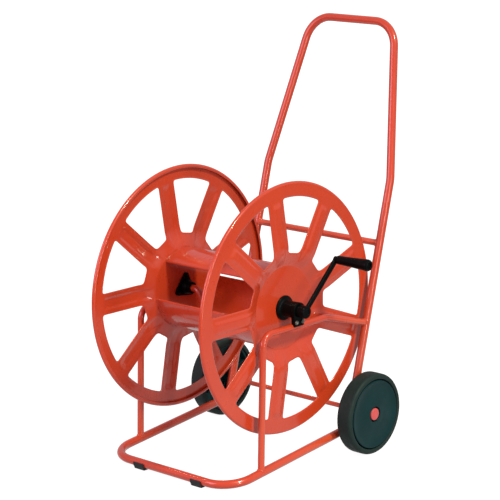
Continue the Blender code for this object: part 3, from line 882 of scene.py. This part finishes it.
def disc_mesh(name, side):
    """The flat mesh pressed into shape, with the curl added ring by ring round its edge."""
    points, edges, holes, turn_in, rim = disc_layout()
    flat, _, triangles, from_points, _, from_holes = delaunay_2d_cdt(points, edges, holes, 0, 1e-7)
    shape = bmesh.new()
    placed, rim_place = [], {}
    for index, point in enumerate(flat):
        height = disc_height(point.x, point.y)
        for source in from_points[index]:
            height -= turn_in.get(source, 0)
            rim_place[source] = index
        place = (side * (DISC_X + height), point.x, REEL_Z + point.y)
        placed.append(shape.verts.new(place))
    for triangle, hole in zip(triangles, from_holes):
        if not hole:
            shape.faces.new([placed[index] for index in triangle])
    ring = [placed[rim_place[index]] for index in rim]
    for radius, height in disc_curl():
        nearer = []
        for number in range(len(rim)):
            angle = 2 * pi * number / len(rim)
            place = (side * (DISC_X + height), radius * cos(angle), REEL_Z + radius * sin(angle))
            nearer.append(shape.verts.new(place))
        for number in range(len(rim)):
            after = (number + 1) % len(rim)
            shape.faces.new((ring[number], ring[after], nearer[after], nearer[number]))
        ring = nearer
    loose = [vertex for vertex in shape.verts if not vertex.link_faces]
    bmesh.ops.delete(shape, geom=loose, context="VERTS")
    bmesh.ops.recalc_face_normals(shape, faces=shape.faces)
    shape.faces.ensure_lookup_table()
    outward = sum(face.normal.x * face.calc_area() for face in shape.faces)
    if outward * side < 0:
        bmesh.ops.reverse_faces(shape, faces=shape.faces)
    mesh = bpy.data.meshes.new(name)
    shape.to_mesh(mesh)
    shape.free()
    return mesh


def reel_discs():
    """Each disc is one pressed sheet, which stands for the CAD's spoked centre and its rim."""
    for name, side in SIDES:
        mesh = disc_mesh(name + "_flange_disc", side)
        nodes = [name + "_disc", name + "_disc_rim"]
        finish_piece(mesh, "reel", "red_paint", nodes, sheet=DISC_SHEET)


# ------------------------ drum

def drum_section():
    """The plate's outer line from one folded lip to the other, centred on +Y."""
    half, fold = DRUM_SPAN / 2, 0.0022
    inset = asin(fold / (DRUM_RADIUS - fold))
    centre_reach = DRUM_RADIUS - fold
    centre = (centre_reach * cos(half - inset), centre_reach * sin(half - inset))
    lip = DRUM_RADIUS - DRUM_LIP
    upper = arc(centre, fold, half - inset, half + pi / 2, 6) + [(lip * cos(half), lip * sin(half))]
    lower = [(y, -z) for y, z in reversed(upper)]
    return lower + arc((0, 0), DRUM_RADIUS, inset - half, half - inset, 36)[1:-1] + upper


def drum_plates():
    """Three curved plates with folded long edges, stitched to the dish of each disc."""
    length = 2 * (DISC_X - DISH_DEPTH - DISC_SHEET) - 0.0004
    section = drum_section()
    cuts = 24
    beads = []
    for name, degrees in DRUM_PLATES.items():
        outline = spun(section, radians(degrees))
        vertices = []
        for step in range(cuts + 1):
            x = length * (step / cuts - 0.5)
            vertices += [(x, y, REEL_Z + z) for y, z in outline]
        count = len(outline)
        faces = []
        for step in range(cuts):
            for index in range(count - 1):
                corner = step * count + index
                faces.append((corner, corner + count, corner + count + 1, corner + 1))
        mesh = bpy.data.meshes.new(f"drum_{name}_shell")
        mesh.from_pydata(vertices, [], faces)
        finish_piece(mesh, "reel", "red_paint", [f"drum_{name}_plate"], sheet=DISC_SHEET)
        beads += stitches(name, degrees, length / 2 - 0.0006)
    finish_piece(joined("drum_welds", beads), "reel", "red_paint")


def stitches(name, degrees, distance):
    """Three short beads across each end of a plate, at that distance from the middle plane."""
    beads = []
    radius = DRUM_RADIUS + 0.0006
    for side in (-1, 1):
        for offset in (-25, 0, 25):
            angles = [radians(degrees + offset + (step - 7) * 0.75) for step in range(15)]
            path = [Vector((side * distance, radius * cos(a), REEL_Z + radius * sin(a))) for a in angles]
            beads.append(bead(f"stitch_{name}_{side}_{offset}", path, 0.0019))
    return beads


# ------------------------ hubs, hose and crank

def reel_hubs():
    """Flanged hubs on the discs; the left one is bored for the water."""
    seat = DISC_X - DISH_DEPTH
    inside = seat - 0.0045
    axis = (0, 0, REEL_Z)
    flange = [(NECK_RADIUS, NECK_X), (NECK_RADIUS, seat + 0.0140), (0.0200, seat + 0.0110)]
    flange += [(0.0215, seat + 0.0080), (0.0240, seat + 0.0060), (0.0282, seat + 0.0045)]
    flange += [(0.0295, seat + 0.0030), (0.0295, seat + 0.0001), (0.0122, seat + 0.0001), (0.0122, inside)]
    end = CRANK_BOSS[1] - 0.003
    right = [(0, end), (JOURNAL_RADIUS, end), (JOURNAL_RADIUS, NECK_X)] + flange + [(0, inside)]
    mesh = turned("right_hub_turning", right, axis, 1, 64)
    finish_piece(mesh, "reel", "black_plastic", ["right_hub"])
    bore = 0.006
    left = [(bore, JOURNAL_END), (JOURNAL_RADIUS, JOURNAL_END), (JOURNAL_RADIUS, NECK_X)]
    left += flange + [(bore, inside)]
    mesh = turned("left_hub_turning", left, axis, -1, 64, True)
    finish_piece(mesh, "reel", "black_plastic", ["left_hub"])


def hose_parts():
    """The flange, nut and bend inside the drum, and the nipple outside the left bearing."""
    floor = DISC_X - DISH_DEPTH - DISC_SHEET
    corners = []
    for degrees in SEAT_CORNERS:
        way = radians(degrees)
        centre = (0.0265 * cos(way), REEL_Z + 0.0265 * sin(way))
        corners += arc(centre, 0.0085, way - radians(60), way + radians(60), 14)
    outlines = [corners, circle((0, REEL_Z), 0.0125, 48)]
    mesh = plate("hose_seat", outlines, -floor + 0.0002, 0.005 - floor, 0.0007)
    finish_piece(mesh, "reel", "black_plastic", ["hose_flange"])
    screws = []
    head = [(0, 0.0012), (0.0008, 0.0012), (0.0009, 0.0024), (0.0024, 0.0021), (0.0038, 0.0010)]
    head += [(0.0040, 0), (0, 0)]
    for degrees in SEAT_CORNERS:
        y = 0.0262 * cos(radians(degrees))
        z = REEL_Z + 0.0262 * sin(radians(degrees))
        screws.append(turned(f"screw_{degrees}", head, (0.005 - floor, y, z), 1, 24, False, 0.0003))
    finish_piece(joined("hose_seat_screws", screws), "reel", "black_plastic")
    start = 0.0053 - floor
    collar = [(0.0092, 0.0230), (0.0135, 0.0230), (0.0148, 0.0216), (0.0150, 0.0130), (0.0175, 0.0090)]
    collar += [(0.0185, 0), (0.0092, 0)]
    mesh = turned("hose_nut", collar, (start, 0, REEL_Z), 1, 48, True, 0.0007)
    finish_piece(mesh, "reel", "black_plastic", ["hose_collar"])
    corner = Vector((start + 0.041, 0, REEL_Z))
    end = Vector((start + 0.052, 0, REEL_Z - 0.030))
    path = bent_path([Vector((start + 0.002, 0, REEL_Z)), corner, end], (0.016,))
    mesh = tube("hose_bend", path, 0.0085, 40, caps=False)
    finish_piece(mesh, "reel", "red_paint", ["hose_elbow"], sheet=0.0015)
    barbs = [(0.006, 0.026), (0.0092, 0.026), (0.0106, 0.0235), (0.0096, 0.0225), (0.0106, 0.0195)]
    barbs += [(0.0096, 0.0185), (0.0106, 0.0155), (0.0096, 0.0145), (0.0096, 0.0100), (0.0135, 0.0100)]
    barbs += [(0.0145, 0.0085), (0.0145, 0.0003), (0.0135, 0), (0.006, 0)]
    place = (-JOURNAL_END - 0.0003, 0, REEL_Z)
    mesh = turned("supply_nipple", barbs, place, -1, 48, True, 0.0004)
    finish_piece(mesh, "reel", "black_plastic", ["water_inlet"])


def crank():
    """The boss, the flat arm with its rivet, the grip's screw and the turning grip."""
    inner, outer = CRANK_BOSS
    boss = [(0, outer - 0.0016), (0.0070, outer - 0.0016), (0.0078, outer), (0.0125, outer)]
    boss += [(0.0146, outer - 0.0012), (CRANK_BOSS_RADIUS, outer - 0.0030)]
    boss += [(CRANK_BOSS_RADIUS, inner + 0.0012), (0.0142, inner), (0.0103, inner)]
    boss += [(0.0103, outer - 0.0025), (0, outer - 0.0025)]
    mesh = turned("crank_head", boss, (0, 0, REEL_Z), 1, 64)
    finish_piece(mesh, "reel", "black_plastic", ["crank_boss"])
    width = CRANK_ARM_HALF_WIDTH
    end = arc((CRANK_LENGTH, 0), width + 0.0015, radians(-125), radians(125), 28)
    start = arc((0, 0), CRANK_BOSS_RADIUS - 0.0006, radians(25), radians(-25), 12)
    outline = lifted(spun(start + end, CRANK_ANGLE), 0, REEL_Z)
    arm = plate("crank_bar", [outline], *CRANK_ARM, 0.0016)
    knob_y = CRANK_LENGTH * cos(CRANK_ANGLE)
    knob_z = REEL_Z + CRANK_LENGTH * sin(CRANK_ANGLE)
    shank = [(0, -0.0008), (0.0052, -0.0008), (0.0056, 0.0004), (0, 0.0004)]
    rivet = turned("rivet", shank, (CRANK_ARM[0], knob_y, knob_z), 1, 32)
    finish_piece(joined("crank_bar", [arm, rivet]), "reel", "black_plastic", ["crank_arm"])
    knob = (GRIP_X, knob_y, knob_z)
    shoulder = GRIP_LENGTH - 0.005
    pin = [(0, shoulder + 0.0028), (0.0014, shoulder + 0.0028), (0.0016, shoulder + 0.0036)]
    pin += [(0.0042, shoulder + 0.0032), (0.0060, shoulder + 0.0018), (0.0062, shoulder + 0.0005)]
    pin += [(PIN_RADIUS, shoulder + 0.0005), (PIN_RADIUS, -0.006), (0, -0.006)]
    mesh = turned("grip_screw", pin, knob, 1, 32, False, 0.0003)
    finish_piece(mesh, "reel", "black_plastic", ["grip_pin"])
    end = GRIP_LENGTH
    grip = [(0.0072, end - 0.0012), (0.0105, end), (0.0124, end - 0.0006), (0.0136, end - 0.0026)]
    grip += [(0.0142, end - 0.0060), (0.0141, end - 0.0110), (0.0134, end - 0.0200), (0.0126, end - 0.0350)]
    grip += [(0.0118, end - 0.0500), (0.0111, 0.0280), (0.0105, 0.0120), (0.0104, 0.0050), (0.0100, 0.0014)]
    grip += [(0.0092, 0), (GRIP_BORE, 0), (GRIP_BORE, shoulder), (0.0072, shoulder)]
    mesh = turned("grip_sleeve", grip, knob, 1, 64, True, 0.0005)
    finish_piece(mesh, "grip", "black_plastic", ["grip"])


# ------------------------ studio

def soft_box(name, place, aim, size, power, colour):
    lamp = bpy.data.lights.new(name, "AREA")
    lamp.shape = "RECTANGLE"
    lamp.size, lamp.size_y = size
    lamp.energy = power
    lamp.color = colour
    box = new_object(name, lamp)
    box.location = Vector(place)
    way = Vector(aim) - Vector(place)
    box.rotation_euler = way.to_track_quat("-Z", "Y").to_euler()


def sun(name, toward, strength, softness, colour):
    """Light from a direction that the vector points to."""
    lamp = bpy.data.lights.new(name, "SUN")
    lamp.energy = strength
    lamp.angle = radians(softness)
    lamp.color = colour
    source = new_object(name, lamp)
    source.rotation_euler = Vector(toward).to_track_quat("Z", "Y").to_euler()
    source.location = Vector(toward) * 4


def mix_by_ray(tree, ray, otherwise, when):
    """One shader for the named kind of ray and another for all the rest."""
    paths = add_node(tree, "ShaderNodeLightPath")
    mixed = add_node(tree, "ShaderNodeMixShader")
    tree.links.new(paths.outputs[ray], mixed.inputs["Fac"])
    tree.links.new(otherwise, mixed.inputs[1])
    tree.links.new(when, mixed.inputs[2])
    return mixed.outputs["Shader"]


def floor_material():
    """White to the camera, dim to the light that bounces, and in glossy rays a painted white glow, darker
    with distance, that paints a reflected sheen on the cart's lower parts.
    """
    pale = bpy.data.materials.new("pale_floor")
    pale.use_nodes = True
    tree = pale.node_tree
    shown = tree.nodes["Principled BSDF"]
    shown.inputs["Base Color"].default_value = (0.24, 0.24, 0.24, 1)
    shown.inputs["Roughness"].default_value = 1.0
    shown.inputs["Specular IOR Level"].default_value = 0.0
    shown.inputs["Emission Color"].default_value = (1, 1, 1, 1)
    shown.inputs["Emission Strength"].default_value = 0.94
    bounced = add_node(tree, "ShaderNodeBsdfDiffuse", Color=(0.46, 0.36, 0.38, 1))
    seen = mix_by_ray(tree, "Is Camera Ray", bounced.outputs["BSDF"], shown.outputs["BSDF"])
    # Painted reflection: a white glow that only glossy rays see, brightest near the cart, paints a sheen on
    # its lower parts.
    painted_reflection_glow = add_node(tree, "ShaderNodeEmission", Color=(1, 1, 1, 1))
    place = add_node(tree, "ShaderNodeTexCoord").outputs["Object"]
    reach = add_node(tree, "ShaderNodeVectorMath", {"operation": "LENGTH"})
    tree.links.new(place, reach.inputs[0])
    fall = spread(tree, reach.outputs["Value"], 0.7, 2.4, 0.62, 0.15)
    tree.links.new(fall, painted_reflection_glow.inputs["Strength"])
    whole = mix_by_ray(tree, "Is Glossy Ray", seen, painted_reflection_glow.outputs["Emission"])
    tree.links.new(whole, tree.nodes["Material Output"].inputs["Surface"])
    return pale


def surroundings():
    """A faintly pink sky for the light, plain white behind the cart."""
    world = bpy.data.worlds.new("studio")
    world.use_nodes = True
    tree = world.node_tree
    sky = tree.nodes["Background"]
    sky.inputs["Color"].default_value = (1.0, 0.82, 0.90, 1)
    sky.inputs["Strength"].default_value = 0.54
    white = add_node(tree, "ShaderNodeBackground", Color=(1, 1, 1, 1), Strength=1.0)
    whole = mix_by_ray(tree, "Is Camera Ray", sky.outputs["Background"], white.outputs["Background"])
    tree.links.new(whole, tree.nodes["World Output"].inputs["Surface"])
    bpy.context.scene.world = world


def studio():
    """The floor, the surroundings, a key, a strip and a soft fill."""
    floor = bpy.data.meshes.new("floor")
    far = 60
    floor.from_pydata([(-far, -far, 0), (far, -far, 0), (far, far, 0), (-far, far, 0)], [], [(0, 1, 2, 3)])
    floor.materials.append(floor_material())
    new_object("floor", floor)
    surroundings()
    sun("key", toward=(0.66, -0.06, 0.74), strength=2.25, softness=8, colour=(0.96, 1.0, 0.78))
    soft_box("fill", place=(-1.2, -3.4, 1.8), aim=(0, 0, 0.4), size=(2.2, 2.2), power=70,
             colour=(1.0, 0.60, 0.76))
    soft_box("strip", place=(2.3, -0.66, 0.76), aim=(0, 0, 0.76), size=(0.16, 1.5), power=17,
             colour=(1.0, 0.97, 0.92))
    bpy.context.scene.view_settings.view_transform = "Standard"


def camera():
    lens = bpy.data.cameras.new("camera")
    lens.sensor_width = CAMERA_SENSOR
    lens.lens = CAMERA_LENS
    lens.clip_end = 200
    azimuth, dip, roll = radians(CAMERA_AZIMUTH), radians(CAMERA_DIP), radians(CAMERA_ROLL)
    ahead = Vector((-sin(azimuth) * cos(dip), cos(azimuth) * cos(dip), -sin(dip)))
    right = Vector((cos(azimuth), sin(azimuth), 0))
    up = right.cross(ahead)
    turned_right = right * cos(roll) + up * sin(roll)
    turned_up = up * cos(roll) - right * sin(roll)
    view = new_object("camera", lens)
    columns = Matrix((turned_right, turned_up, -ahead)).transposed()
    view.matrix_world = Matrix.Translation(ORIGIN + Vector(CAMERA_PLACE)) @ columns.to_4x4()
    bpy.context.scene.camera = view


# ------------------------ assembly

base_and_handle()
supports_and_bar()
frame_welds()
foot_pads()
bearings()
wheels()
reel_discs()
drum_plates()
reel_hubs()
hose_parts()
crank()
studio()
camera()
